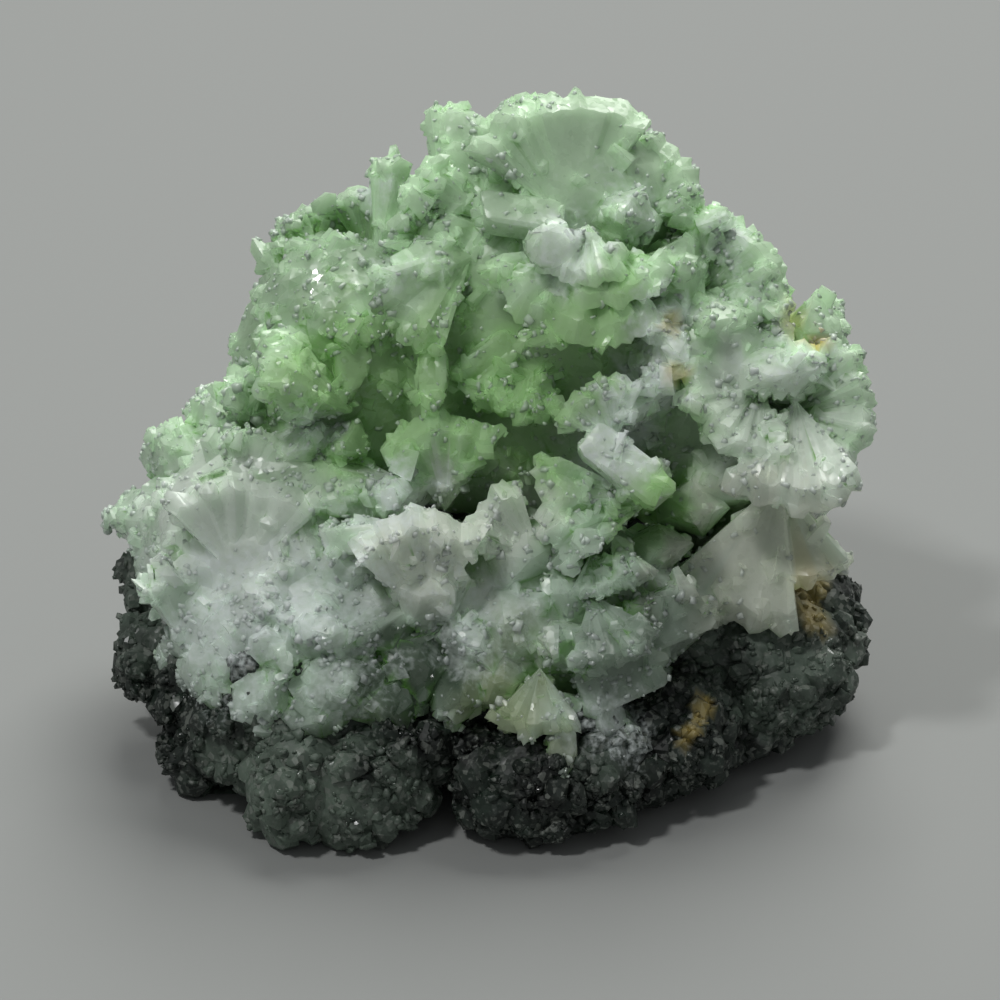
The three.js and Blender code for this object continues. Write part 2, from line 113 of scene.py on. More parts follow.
# %% Crystals of the front
FRONT_CRYSTALS = [
    ("fan", 6.8, 51.2, 0, 10.4, 92, 3.6, 101, -12, 8),
    ("fan", 8.6, 50.4, -3, 9.3, 82, 4.4, 47, -14, -12),
    ("fan", 1.8, 51.2, -3, 9, 84, 4.6, 133, -16, 10),
    ("chunk", -2.6, 50.2, -2.6, 7.5, 5.5, 4.5, 165, 0, 10),
    ("blade", 5.8, 51, -0.8, 7, 3, 2.4, 172, 6, 30),
    ("fan", 7.8, 51, 1.6, 5.6, 92, 2.4, 258, 14, 6),
    ("lobe", 7.6, 49.8, 2.6, 5.2, 3.8, 2.2, 196, 8, -6),
    ("chunk", 10.8, 52, 0.8, 5, 4.4, 2.6, 50, -8, 0),
    ("fan", 8, 49.6, -1, 9.2, 116, 2.8, 252, 22, 0),
    ("fan", 9.6, 49.6, 0.2, 6.2, 118, 2.2, 272, 24, 8),
    ("lobe", 5.4, 41.8, 1.6, 3.4, 1.9, 1.5, 180, 8, 0),
    ("fan", -1, 49.2, -1.4, 9.4, 58, 4, 222, 6, -8),
    ("chunk", -4.6, 47.4, -0.6, 6.4, 5.2, 3.6, 20, 6, 6),
    ("fan", -5.6, 50, -3.4, 2.4, 150, 1.8, 128, 10, 0),
    ("lobe", -4.4, 43, -1.6, 7.4, 2.8, 1.5, 267, 6, 12),
    ("blade", -2.4, 38.8, -3.2, 5.8, 2.2, 1.4, 36, 8, 20),
    ("blade", -1.8, 37.2, -3.4, 5.6, 2.4, 1.4, 50, 6, -16),
    ("blade", -0.6, 36.2, -3.6, 4.6, 2, 1.4, 66, 4, 14),
    ("chunk", 0.4, 42.6, -4.6, 6.4, 5.4, 4, 70, 0, 0),
    ("chunk", 4.8, 38.2, -4, 7, 7.4, 4, 100, 0, 0),
    ("chunk", -1.6, 43.2, -4.6, 6, 6, 5, 20, 0, 0),
    ("fan", -3.6, 27.8, -2.6, 8, 82, 3.4, 92, 4, 0),
    ("fan", 3.4, 40.6, -3, 5.6, 80, 2.6, 262, 8, 12),
    ("fan", -9.6, 48, -11, 6.6, 84, 4.4, 88, -6, 0),
    ("fan", -12.6, 47, -12, 6.4, 104, 4.6, 128, -4, 10),
    ("fan", -13.4, 46.2, -12, 5.4, 96, 4.6, 186, 0, 14),
    ("chunk", -15.6, 43.6, -12.4, 6.4, 6.4, 5, 80, 0, 10),
    ("chunk", -9.2, 47, -7.6, 6.6, 6.2, 4.4, 40, 0, 0),
    ("lobe", -9.2, 51.4, -10, 3, 3.4, 2, 92, 0, 0),
    ("chunk", -16.6, 39.6, -11.6, 6.6, 6.6, 5, 120, 0, 14),
    ("lobe", -11.6, 36.4, -4.6, 6.6, 3.3, 1.3, 84, 4, 10),
    ("chunk", -14.6, 37, -7.6, 5, 5, 4, 100, 0, 0),
    ("fan", -17.6, 34.4, -8.6, 5.6, 100, 4, 100, 0, 12),
    ("chunk", -21, 35, -11.6, 5.4, 5.4, 5, 60, 0, 16),
    ("chunk", -24.4, 32.4, -12.6, 5.4, 5, 5, 90, 0, 18),
    ("fan", -20.2, 22.4, -2.4, 8.6, 96, 3.6, 88, 0, 6),
    ("scallop", -19.8, 30, -5.4, 4.6, 92, 2, 84, 0, 0),
    ("chunk", -15.4, 33, -4.8, 7, 4.2, 3.6, 10, 0, 0),
    ("chunk", -11.8, 33.2, -4.2, 4.4, 4.2, 3.2, 60, 0, 0),
    ("chunk", -12.4, 28.8, -3.2, 9, 7.4, 4, 15, 0, 0),
    ("chunk", -8.2, 29, -0.8, 5.4, 3.8, 3, 20, 6, 0),
    ("blade", -9, 25.8, -0.6, 4.6, 2.3, 3, 186, 0, 0),
    ("fan", -4.8, 18.8, 1.4, 9.3, 70, 5, 97, 4, 0),
    ("chunk", -4.8, 20.8, 1.8, 5.6, 6.4, 4, 90, 4, 0),
    ("chunk", -11.2, 23.4, -1, 7, 6, 3.4, 60, 0, 0),
    ("chunk", -17.6, 20.6, -0.4, 8.6, 7, 3.4, 20, 0, 6),
    ("chunk", -13.6, 18.2, 0.8, 8.6, 6.4, 3.6, 160, 0, 0),
    ("fan", -23, 15.4, -3.6, 9.2, 58, 3.4, 103, -2, 16),
    ("chunk", -21.4, 15, -1.6, 7.6, 6, 4, 110, 0, 12),
    ("chunk", -17.6, 13.4, 0.2, 7.6, 6.6, 4, 60, 0, 4),
    ("chunk", -12, 13.8, 1.4, 8.4, 5.6, 4, 170, 0, 0),
    ("chunk", -6.4, 15.4, 0, 8, 7.4, 4, 70, 0, 0),
    ("chunk", -26, 27, -11, 5.6, 6, 5, 80, 0, 20),
    ("chunk", -26, 22.8, -9, 5, 5, 4, 40, 0, 20),
    ("chunk", -9, 18.6, 0.4, 7, 5.6, 3.6, 30, 0, 0),
    ("chunk", -17, 16.8, 0.2, 7, 5, 3.6, 130, 0, 0),
    ("chunk", -8.4, 12, 0.8, 6.4, 5, 3.6, 100, 0, 0),
    ("chunk", -22.8, 19.4, -2.6, 6, 6, 4, 20, 0, 8),
    ("chunk", -14.4, 11, 0.4, 6.6, 5, 4, 150, 0, 0),
    ("fan", 4.4, 23.4, 0, 7.6, 62, 3, 137, 6, 0),
    ("chunk", 3.4, 24.6, 0, 8.6, 6, 4, 30, 0, 0),
    ("fan", 13.4, 29.2, 0, 9.9, 54, 4.4, 191, 10, 8),
    ("blade", 7.8, 33.8, 1.8, 7.8, 3.2, 2, 322, 4, -14),
    ("chunk", 12.6, 29.6, 1.6, 3.6, 3.2, 2.4, 60, 6, 0),
    ("scallop", 10, 33.4, 1.4, 5.2, 104, 2.2, 112, 4, 0),
    ("chunk", 13.6, 43.6, 0.6, 4.2, 3, 2.8, 10, 6, 0),
    ("chunk", 14.6, 41, 1, 5.4, 3.4, 3, 92, 6, 0),
    ("chunk", 13.2, 38, 1.2, 4.6, 3.4, 3, 40, 6, 0),
    ("chunk", 10.8, 35.8, 1.4, 4.8, 2.8, 3, 28, 6, 0),
    ("fan", 8, 24.6, 0.8, 3.6, 88, 1.8, 292, 8, 0),
    ("fan", 10.6, 25.2, 0.4, 3.6, 88, 1.8, 276, 8, 0),
    ("chunk", 1.8, 19.2, 0.6, 8, 7.4, 4, 30, 0, 0),
    ("chunk", 6.2, 21, 0.4, 6.6, 5.6, 4, 120, 0, 0),
    ("fan", 8, 21.4, 1, 6.4, 76, 3.4, 292, 6, 0),
    ("chunk", -1.6, 17.4, 1.2, 5.4, 4.4, 3.4, 110, 4, 0),
    ("chunk", 0.8, 13.8, 1, 5.4, 4.6, 3, 80, 4, 0),
    ("fan", 4, 15.6, 0.8, 5.8, 72, 3, 266, 10, 0),
    ("lobe", 6, 12.4, 0.6, 6, 2.6, 2.6, 266, 0, 0),
    ("chunk", -2.4, 13.2, 0.6, 5.4, 5, 3.6, 70, 0, 0),
    ("chunk", 5.4, 17.4, 0.8, 6, 5, 3.6, 20, 0, 0),
    ("blade", 11, 18.2, -1, 7, 4.4, 1.8, 22, -6, 10),
    ("blade", 7.2, 13.2, 0, 7.2, 4, 1.8, 24, -6, 8),
    ("chunk", 9, 11, 0, 4.4, 4.2, 3.4, 50, 0, 0),
    ("chunk", 11, 9.8, -1.6, 5.4, 3.8, 3.4, 100, -6, 0),
    ("chunk", 15, 47, -0.8, 6.6, 5.6, 3.6, 80, 0, 0),
    ("fan", 16, 45.2, -3.4, 7.6, 98, 4.4, 42, -4, -10),
    ("fan", 18.2, 42.4, -2.6, 6.2, 76, 3.6, 2, 0, -8),
    ("chunk", 18, 43, -0.4, 7.4, 5.4, 3.8, 10, 0, 0),
    ("chunk", 25.6, 42, -7.6, 6.4, 4.6, 4.6, 84, 0, -14),
    ("fan", 22.2, 38.4, -1.6, 7, 112, 3.6, 222, 14, 0),
    ("fan", 24.6, 37.2, -1.8, 9.4, 78, 4, 268, 10, 0),
    ("fan", 24.6, 36.2, -3.4, 6.4, 124, 4.4, 6, 0, -10),
    ("chunk", 22.8, 39, 0, 8, 4.6, 3.6, 10, 4, 0),
    ("fan", 23.6, 30.4, -4.6, 12.8, 56, 3.4, 248, -14, -4),
    ("fan", 24.4, 29.6, -6, 8.2, 60, 3.6, 282, -12, -12),
    ("chunk", 16, 28.4, -4.6, 5, 5.4, 3.4, 70, 0, 0),
    ("chunk", 18.4, 32, -5.6, 5, 5, 3.4, 30, 0, 0),
    ("chunk", 13.6, 24.8, -2.8, 5.4, 4, 3, 10, 0, 0),
    ("chunk", 17.6, 37.4, -4.2, 5, 5.6, 3.4, 80, 0, 0),
]
print("front crystals:", len(FRONT_CRYSTALS))

# %% Crystals of the back and sides
BACK_CRYSTALS = [
    ("fan", -5, 45.4, -3.4, 7.4, 104, 4.4, 84, -14, 0),
    ("fan", 4, 44, -3.6, 7.4, 96, 4.4, 128, -12, 0),
    ("fan", -13, 40.6, -3.6, 7.6, 100, 4.6, 42, -10, 0),
    ("fan", -4.6, 42.6, -1.4, 8.4, 112, 3.6, 262, 14, 0),
    ("chunk", 1, 39, -0.6, 7.4, 6.4, 5, 30, 0, 0),
    ("fan", 10.6, 38.6, -3.6, 7.6, 104, 4.4, 146, -8, 0),
    ("chunk", 8, 35, -0.6, 7.6, 6.6, 5, 100, 0, 0),
    ("chunk", -14, 35, -1.8, 7.6, 6.8, 5, 60, 0, 0),
    ("fan", -5.4, 33, 0.2, 8.6, 100, 4.4, 238, 6, 0),
    ("fan", 3, 33, 0.2, 8, 100, 4.4, 290, 6, 0),
    ("chunk", -21, 34, -5, 8, 7, 5, 80, 0, 0),
    ("fan", -19, 31, -3, 8, 108, 4.6, 282, 0, 10),
    ("fan", 15.4, 33, -4.6, 8, 104, 4.6, 206, 0, -10),
    ("chunk", 10.4, 27.4, 0, 8.4, 7.4, 5, 10, 0, 0),
    ("chunk", -1.2, 26, 1.2, 9, 7.2, 5, 150, 0, 0),
    ("chunk", -11.6, 26.6, 0, 8.6, 7.4, 5, 40, 0, 0),
    ("fan", 17.6, 27.4, -4.2, 7.4, 96, 4.6, 250, 0, -12),
    ("chunk", -21.4, 24, -4.6, 8.4, 7.6, 5, 70, 0, 10),
]
LEFT_CRYSTALS = [
    ("fan", -22, 30.6, -7, 7, 104, 4.4, 96, -6, 0),
    ("chunk", -27.6, 35, -8.4, 8, 7.6, 5, 70, 0, 0),
    ("fan", -30, 33, -8, 7.4, 100, 4.4, 262, 6, 0),
    ("chunk", -22.4, 24.4, -3.8, 7.6, 6.6, 5, 20, 0, 0),
    ("fan", -33.4, 26, -6, 7.2, 96, 4.4, 286, 0, 0),
    ("chunk", -18, 20, -2.6, 6.4, 6, 4, 50, 0, 0),
]
RIGHT_CRYSTALS = [
    ("chunk", 23, 35, -4.4, 7.4, 6.8, 5, 50, 0, 0),
    ("fan", 27, 33, -4.2, 7.6, 104, 4.6, 80, -6, 0),
    ("fan", 27.4, 32.4, -3.6, 8, 98, 4.4, 264, 4, 0),
    ("chunk", 32.4, 29, -4, 8, 7.2, 5, 110, 0, 0),
    ("chunk", 22.6, 25, -3, 7.4, 6.4, 5, 80, 0, 0),
]
HEART_LUMPS = [
    (4, 31, 27, 15, 9.5, 19),
    (7, 31.6, 43, 8.4, 5, 6.6),
    (-12, 31, 27, 9, 8, 12),
    (-15, 21, 16, 10, 9, 8),
    (19, 29, 22, 10, 8, 13),
    (2, 17, 13, 17, 8, 8),
    (-14, 13.8, 11.8, 12, 5.4, 7.4),
    (3, 13.8, 11.6, 10, 5.4, 7.4),
    (-20.6, 22, 16.6, 7.6, 8.6, 8),
    (3, 34, 24, 19, 9, 14),
]
ROCK_LUMPS = [
    (1, 27, 9, 25, 17, 10),
    (-10, 36, 11.6, 12.6, 9.8, 11.4),
    (11, 35.6, 11, 12, 9.6, 10.8),
    (-15.4, 4.6, 4.4, 4.2, 4, 5.2),
    (-11, 4.2, 3.8, 4.8, 3.9, 5),
    (-7.8, 5.4, 4.6, 3, 3.8, 4.6),
    (-12.4, 9.4, 5, 7, 5.6, 5.4),
    (3, 5, 4, 5.8, 4.8, 4.8),
    (8.4, 7, 4.6, 4.6, 5, 5),
    (-3.6, 10.6, 6, 4.4, 5, 4.4),
    (-17.4, 15, 7, 9.6, 9.5, 8),
    (22, 20.5, 6.4, 8, 8, 6.4),
    (27, 24.5, 7.2, 4, 5.6, 5.2),
    (14, 13, 4.8, 7, 7, 5.2),
    (-27.2, 19.8, 7, 3.6, 4, 4),
    (-27.8, 24, 11, 2.6, 3, 3),
    (-22.4, 12.8, 2.8, 4.6, 4, 3),
]
print("all crystals:", len(FRONT_CRYSTALS + BACK_CRYSTALS + LEFT_CRYSTALS + RIGHT_CRYSTALS))

# %% [markdown]
# ## One crystal of each kind
# A fan is many thin tablets that share a root. Its cross-section is a flat six-sided
# wedge, so we spin that wedge about the root, which leaves radial ribs, and shake the
# rim a little because no natural rim is even. A chunk is a broken block: a shaken ball
# of twenty facets with five flat cuts. A lobe is a rounded leaf and a blade a thin bar.

# %% Helpers for edit mode
def start_clean():
    if bpy.context.object and bpy.context.object.mode != "OBJECT":
        bpy.ops.object.mode_set(mode="OBJECT")
    bpy.ops.object.select_all(action="DESELECT")


def select_points(thing, test):
    bpy.ops.mesh.select_all(action="DESELECT")
    bpy.ops.object.mode_set(mode="OBJECT")
    chosen = [test(v.co) for v in thing.data.vertices]
    thing.data.vertices.foreach_set("select", chosen)
    bpy.ops.object.mode_set(mode="EDIT")
    bpy.ops.mesh.select_mode(type="VERT")


def finish_master(thing, name):
    bpy.ops.mesh.select_all(action="SELECT")
    bpy.ops.mesh.remove_doubles(threshold=0.0005)
    bpy.ops.mesh.normals_make_consistent(inside=False)
    bpy.ops.object.mode_set(mode="OBJECT")
    bpy.ops.object.transform_apply(location=True, rotation=True, scale=True)
    thing.name = name
    print(name, len(thing.data.vertices), "points")
    return thing


# %% The fan
ROOT_DEPTH = 4.5
RIB_ANGLE = 3.6
PROFILE_MOVES = [
    ((0.5, 0, 0.5), (0.34, 0, 0)),
    ((0.067, 0, 0.25), (-0.067, 0, -0.7)),
    ((0.933, 0, 0.25), (0.067, 0, -0.15)),
    ((0.067, 0, -0.25), (-0.047, 0, -0.25)),
]


def make_fan_master(opening):
    start_clean()
    bpy.ops.mesh.primitive_circle_add(
        vertices=6, radius=0.5, fill_type="NGON", location=(0.5, 0, 0),
        rotation=(math.pi / 2, 0, 0))
    fan = bpy.context.object
    bpy.ops.object.transform_apply(location=True, rotation=True, scale=True)
    bpy.ops.object.mode_set(mode="EDIT")
    for corner, move in PROFILE_MOVES:
        select_points(fan, lambda p: (p - Vector(corner)).length < 0.01)
        bpy.ops.transform.translate(value=move)
    bpy.ops.mesh.select_all(action="SELECT")
    bpy.ops.mesh.spin(
        steps=round(opening / RIB_ANGLE), angle=math.radians(opening),
        center=(0, 0, 0), axis=(0, 0, 1))
    bpy.ops.object.mode_set(mode="OBJECT")
    fan.rotation_euler.z = math.radians(opening / 2)
    bpy.ops.object.transform_apply(location=True, rotation=True, scale=True)
    bpy.ops.object.mode_set(mode="EDIT")
    select_points(fan, lambda p: math.hypot(p.x, p.y) > 0.8)
    bpy.ops.transform.vertex_random(offset=0.022, uniform=0.7, normal=0.6, seed=opening)
    return finish_master(fan, f"fan_{opening}")


FAN_OPENINGS = (56, 76, 96, 116, 150)
FAN_MASTERS = {opening: make_fan_master(opening) for opening in FAN_OPENINGS}


# %% The chunks
CHUNK_CUTS = 5


def cut_corner(direction, distance):
    bpy.ops.mesh.select_all(action="SELECT")
    bpy.ops.mesh.bisect(
        plane_co=Vector(direction) * distance, plane_no=direction, clear_outer=True,
        use_fill=True)


def make_chunk_master(seed):
    start_clean()
    bpy.ops.mesh.primitive_ico_sphere_add(subdivisions=1, radius=1.06)
    chunk = bpy.context.object
    bpy.ops.object.mode_set(mode="EDIT")
    bpy.ops.transform.vertex_random(offset=0.16, uniform=1, normal=0, seed=seed)
    generator = np.random.default_rng(seed)
    for _ in range(CHUNK_CUTS):
        direction = generator.normal(size=3)
        cut_corner(direction / np.linalg.norm(direction), generator.uniform(0.7, 0.86))
    return finish_master(chunk, f"chunk_{seed}")


CHUNK_MASTERS = [make_chunk_master(seed) for seed in range(1, 9)]


# %% The lobe and the blade
def make_lobe_master():
    start_clean()
    bpy.ops.mesh.primitive_cylinder_add(vertices=14, radius=0.5, depth=1, location=(0.5, 0, 0))
    lobe = bpy.context.object
    bpy.ops.object.transform_apply(location=True, rotation=True, scale=True)
    bpy.ops.object.mode_set(mode="EDIT")
    select_points(lobe, lambda p: p.x < 0.4)
    bpy.ops.transform.resize(value=(1, 0.62, 1), center_override=(0, 0, 0))
    bpy.ops.mesh.select_all(action="SELECT")
    bpy.ops.mesh.bevel(offset=0.14, segments=1)
    bpy.ops.transform.vertex_random(offset=0.025, uniform=1, normal=0, seed=3)
    return finish_master(lobe, "lobe")


def make_blade_master():
    start_clean()
    bpy.ops.mesh.primitive_cube_add(size=1, location=(0.5, 0, 0))
    blade = bpy.context.object
    bpy.ops.object.transform_apply(location=True, rotation=True, scale=True)
    bpy.ops.object.mode_set(mode="EDIT")
    select_points(blade, lambda p: p.x > 0.9 and p.y > 0)
    bpy.ops.transform.translate(value=(-0.12, 0, 0))
    bpy.ops.mesh.select_all(action="SELECT")
    bpy.ops.mesh.bevel(offset=0.1, segments=1)
    return finish_master(blade, "blade")


LOBE_MASTER = make_lobe_master()
BLADE_MASTER = make_blade_master()

# %% [markdown]
# ## Small crystals
# The same growth goes on at a smaller scale. A small crystal is a nugget, a flat
# six-sided tablet or a chisel. None has more than twenty triangles, because thousands
# of them are needed.

# %% Small crystal shapes
def make_nugget(seed):
    start_clean()
    bpy.ops.mesh.primitive_ico_sphere_add(subdivisions=1, radius=0.58)
    bpy.ops.object.mode_set(mode="EDIT")
    bpy.ops.transform.vertex_random(offset=0.14, uniform=1, normal=0, seed=seed)
    return finish_master(bpy.context.object, f"nugget_{seed}")


def make_tablet(seed):
    start_clean()
    bpy.ops.mesh.primitive_cylinder_add(
        vertices=6, radius=0.55, depth=0.45, rotation=(math.pi / 2, 0, 0))
    tablet = bpy.context.object
    bpy.ops.object.transform_apply(location=True, rotation=True, scale=True)
    bpy.ops.object.mode_set(mode="EDIT")
    bpy.ops.transform.vertex_random(offset=0.09, uniform=1, normal=0, seed=seed)
    return finish_master(tablet, f"tablet_{seed}")


def make_chisel(seed):
    start_clean()
    bpy.ops.mesh.primitive_cube_add(size=1)
    chisel = bpy.context.object
    bpy.ops.object.mode_set(mode="EDIT")
    select_points(chisel, lambda p: p.z > 0)
    bpy.ops.transform.resize(value=(0.8, 0.25, 1), center_override=(0, 0, 0.5))
    bpy.ops.mesh.select_all(action="SELECT")
    bpy.ops.transform.vertex_random(offset=0.09, uniform=1, normal=0, seed=seed)
    return finish_master(chisel, f"chisel_{seed}")


SMALL_MASTERS = [make_nugget(1), make_nugget(2), make_tablet(3), make_tablet(4), make_chisel(5)]

# %% [markdown]
# ## Laying the crystals on the slopes
# Each row of the tables becomes one copy of its master: stretched to its size, turned to
# its heading and moved to its place. Copying arrays of points is quick, and it lets the
# back of every fan and chunk reach down into the crust, as a real crystal does to its
# root. Each copy stays a closed solid of its own, and the next step joins them.

# %% Meshes as arrays
def arrays_of(thing):
    mesh = thing.data
    mesh.calc_loop_triangles()
    points = np.empty(len(mesh.vertices) * 3)
    mesh.vertices.foreach_get("co", points)
    faces = np.empty(len(mesh.loop_triangles) * 3, dtype=np.int32)
    mesh.loop_triangles.foreach_get("vertices", faces)
    return points.reshape(-1, 3), faces.reshape(-1, 3)


def mesh_from_arrays(name, points, faces):
    mesh = bpy.data.meshes.new(name)
    mesh.vertices.add(len(points))
    mesh.vertices.foreach_set("co", points.astype(np.float32).ravel())
    mesh.loops.add(faces.size)
    mesh.loops.foreach_set("vertex_index", faces.astype(np.int32).ravel())
    mesh.polygons.add(len(faces))
    mesh.polygons.foreach_set("loop_start", np.arange(0, faces.size, 3, dtype=np.int32))
    mesh.update(calc_edges=True)
    thing = bpy.data.objects.new(name, mesh)
    bpy.context.scene.collection.objects.link(thing)
    return thing


def joined(parts):
    counts = np.cumsum([0] + [len(points) for points, faces in parts])
    points = np.concatenate([points for points, faces in parts])
    faces = np.concatenate([faces + start for (_, faces), start in zip(parts, counts)])
    return points, faces


FAN_ARRAYS = {opening: arrays_of(master) for opening, master in FAN_MASTERS.items()}
CHUNK_ARRAYS = [arrays_of(master) for master in CHUNK_MASTERS]
LOBE_ARRAYS, BLADE_ARRAYS = arrays_of(LOBE_MASTER), arrays_of(BLADE_MASTER)
SMALL_ARRAYS = [arrays_of(master) for master in SMALL_MASTERS]
for master in [
        *FAN_MASTERS.values(), *CHUNK_MASTERS, LOBE_MASTER, BLADE_MASTER, *SMALL_MASTERS]:
    bpy.data.objects.remove(master)


# %% One crystal from its row
RIM_WAVES = ((4, 0.10), (11, 0.07))
RELIEF_PACE, RELIEF_HEIGHT = 6, 0.6
TIP_PLACE, TIP_SHARE = 0.35, 0.88
CHUNK_REACH = 0.58


def uneven(angles, pace, seed):
    return np.array([noise.noise(Vector((pace * angle, 3.7 * seed, pace))) for angle in angles])


def fan_points(length, opening, thickness, depth, seed):
    nearest = min(FAN_OPENINGS, key=lambda known: abs(known - opening))
    points, faces = FAN_ARRAYS[nearest]
    back = points[:, 2] < -0.47
    angles = np.arctan2(points[:, 1], points[:, 0])
    rim = np.ones(len(points))
    for pace, height in RIM_WAVES:
        rim += height * uneven(angles, pace, seed)
    relief = 1 + RELIEF_HEIGHT * uneven(angles, RELIEF_PACE, seed)
    points = points * (length, length, thickness)
    points[:, :2] *= rim[:, None]
    points[:, 2] *= relief
    tip = (TIP_PLACE * length, 0, -thickness / 2 - depth)
    points[back] = points[back] * (1 - TIP_SHARE) + np.array(tip) * TIP_SHARE
    return points, faces


def chunk_points(length, width, thickness, seed):
    points, faces = CHUNK_ARRAYS[seed % len(CHUNK_ARRAYS)]
    depth = thickness / 2 + ROOT_DEPTH
    points = points * (CHUNK_REACH * length, CHUNK_REACH * width, depth)
    points[:, 2] += thickness / 2 - depth
    return points, faces


def crystal(row, slope, seed):
    kind, across, uphill, outward, length, width, thickness, heading, lean, roll = row
    if kind in ("fan", "scallop"):
        depth = ROOT_DEPTH if kind == "fan" else 0
        points, faces = fan_points(length, width, thickness, depth, seed)
    elif kind == "chunk":
        points, faces = chunk_points(length, width, thickness, seed)
    else:
        points, faces = LOBE_ARRAYS if kind == "lobe" else BLADE_ARRAYS
        points = points * (length, width, thickness)
    placed = growth_frame(slope, (across, uphill, outward), heading, lean, roll)
    return points @ np.array(placed.to_3x3()).T + np.array(placed.translation), faces


def crystals_on(slope, rows):
    return [crystal(row, slope, number) for number, row in enumerate(rows)]


# %% Round lumps that carry the crystals
def lump(x, y, z, half_x, half_y, half_z, rough):
    start_clean()
    bpy.ops.mesh.primitive_ico_sphere_add(subdivisions=3, radius=1)
    ball = bpy.context.object
    points, faces = arrays_of(ball)
    bpy.data.objects.remove(ball)
    offset = Vector((x, y, z))
    swell = [noise.noise(Vector(p) * 1.7 + offset) for p in points]
    ridges = [abs(noise.noise(Vector(p) * 3.6 + offset)) for p in points]
    points = points * (1 + 0.14 * np.array(swell) - rough * np.array(ridges))[:, None]
    return points * (half_x, half_y, half_z) + np.array((x, y, z)) - np.array(CENTRE), faces


hearts = [lump(*row, rough=0) for row in HEART_LUMPS]
big_crystals = [
    *crystals_on(FRONT_SLOPE, FRONT_CRYSTALS), *crystals_on(BACK_SLOPE, BACK_CRYSTALS),
    *crystals_on(LEFT_SLOPE, LEFT_CRYSTALS), *crystals_on(RIGHT_SLOPE, RIGHT_CRYSTALS),
]
print("big crystals:", len(big_crystals))

# %% [markdown]
# ## One skin
# Real crystals that grow together share one outside. A Boolean union of all the copies
# leaves that outside and no hidden walls, which would disturb the light that travels in
# the stone. Its manifold solver joins thousands of small solids in seconds, and every
# edge stays as sharp as it was. It gives its points in another order each time, so we
# sort them: the random places that follow are then the same in every run.

# %% Union
def apply_modifier(thing, kind, **settings):
    start_clean()
    bpy.context.view_layer.objects.active = thing
    thing.select_set(True)
    modifier = thing.modifiers.new(kind.lower(), kind)
    for name, value in settings.items():
        setattr(modifier, name, value)
    bpy.ops.object.modifier_apply(modifier=modifier.name)
    return thing


def in_order(points, faces):
    rank = np.lexsort(points.T)
    place = np.empty(len(rank), dtype=np.int32)
    place[rank] = np.arange(len(rank))
    corners = place[faces]
    turn = corners.argmin(axis=1)[:, None] + np.arange(3)
    corners = np.take_along_axis(corners, turn % 3, axis=1)
    return points[rank], corners[np.lexsort(corners.T)]


def union_of(name, parts):
    whole = mesh_from_arrays(name, *parts[0])
    others = bpy.data.collections.new("others")
    bpy.context.scene.collection.children.link(others)
    for points, faces in parts[1:]:
        part = mesh_from_arrays("part", points, faces)
        bpy.context.scene.collection.objects.unlink(part)
        others.objects.link(part)
    apply_modifier(
        whole, "BOOLEAN", operation="UNION", operand_type="COLLECTION", collection=others,
        solver="MANIFOLD")
    for part in list(others.objects):
        bpy.data.meshes.remove(part.data)
    bpy.data.collections.remove(others)
    apply_modifier(whole, "TRIANGULATE")
    points, faces = in_order(*arrays_of(whole))
    bpy.data.meshes.remove(whole.data)
    whole = mesh_from_arrays(name, points, faces)
    print(name, len(whole.data.polygons), "triangles")
    return whole


# %% Random places on a skin
def face_normals(points, faces):
    a, b, c = (points[faces[:, i]] for i in range(3))
    cross = np.cross(b - a, c - a)
    size = np.linalg.norm(cross, axis=1)
    return cross / np.maximum(size, 1e-12)[:, None], size / 2


def random_places(points, faces, count, chance, generator):
    normals, areas = face_normals(points, faces)
    weight = areas * chance
    picked = generator.choice(len(faces), count, p=weight / weight.sum())
    share = generator.random((count, 2))
    over = share.sum(axis=1) > 1
    share[over] = 1 - share[over]
    a, b, c = (points[faces[picked, i]] for i in range(3))
    return a + (b - a) * share[:, :1] + (c - a) * share[:, 1:], normals[picked]


def on_front_slope(points):
    back = points + np.array(CENTRE)
    x, up, out = (np.array(axis) for axis in slope_axes(FRONT_SLOPE))
    return back @ x, back @ up, back @ out


# %% Zones of the front
def soft_step(value, low, high):
    share = np.clip((value - low) / (high - low), 0, 1)
    return share * share * (3 - 2 * share)


def ripple(points, size, seed=0):
    offset = Vector((seed * 7.3, seed * 3.1, seed * 5.7))
    return np.array([noise.noise(Vector(p) / size + offset) for p in points])


def zone_share(points, zones, ripples=None):
    across, uphill, outward = on_front_slope(points)
    facing = soft_step(outward, -24, -14)
    share = np.zeros(len(points))
    for u, v, radius, strength in zones:
        distance = np.hypot(across - u, uphill - v) / radius
        if ripples is not None:
            distance = distance + 0.6 * ripples
        share = np.maximum(share, strength * soft_step(-distance, -1.35, -0.6))
    return share * facing


SMOOTH_PLATES = [
    (7.2, 56.5, 4.6, 1), (-20.5, 27, 4.6, 0.9), (23, 26, 5, 0.6), (-4.8, 24, 4.4, 0.5),
    (6, 48.3, 3, 0.9), (8, 45, 4, 0.8), (-4.4, 39.6, 2.6, 0.8), (13, 27.6, 3.4, 0.8),
    (22, 23, 5, 0.8), (-3.6, 32, 3.6, 0.5), (-11.2, 40, 2.6, 0.9),
]
BRISTLING = [
    (-15, 46, 6, 1), (-20, 37, 4, 0.6), (19, 50, 4, 0.8), (22, 41, 5, 0.6), (3, 37, 5, 0.4),
]
print("smooth plates:", len(SMOOTH_PLATES), "bristling places:", len(BRISTLING))


# %% [markdown]
# ## Smaller crystals all over
# The specimen bristles with crystals of one or two millimetres. They are thrown at
# random places of the big ones' skin, few of them on the smooth plates. Neighbours lie
# nearly parallel, as crystals of one growth do, so their directions come from a smooth
# noise field instead of pure chance.

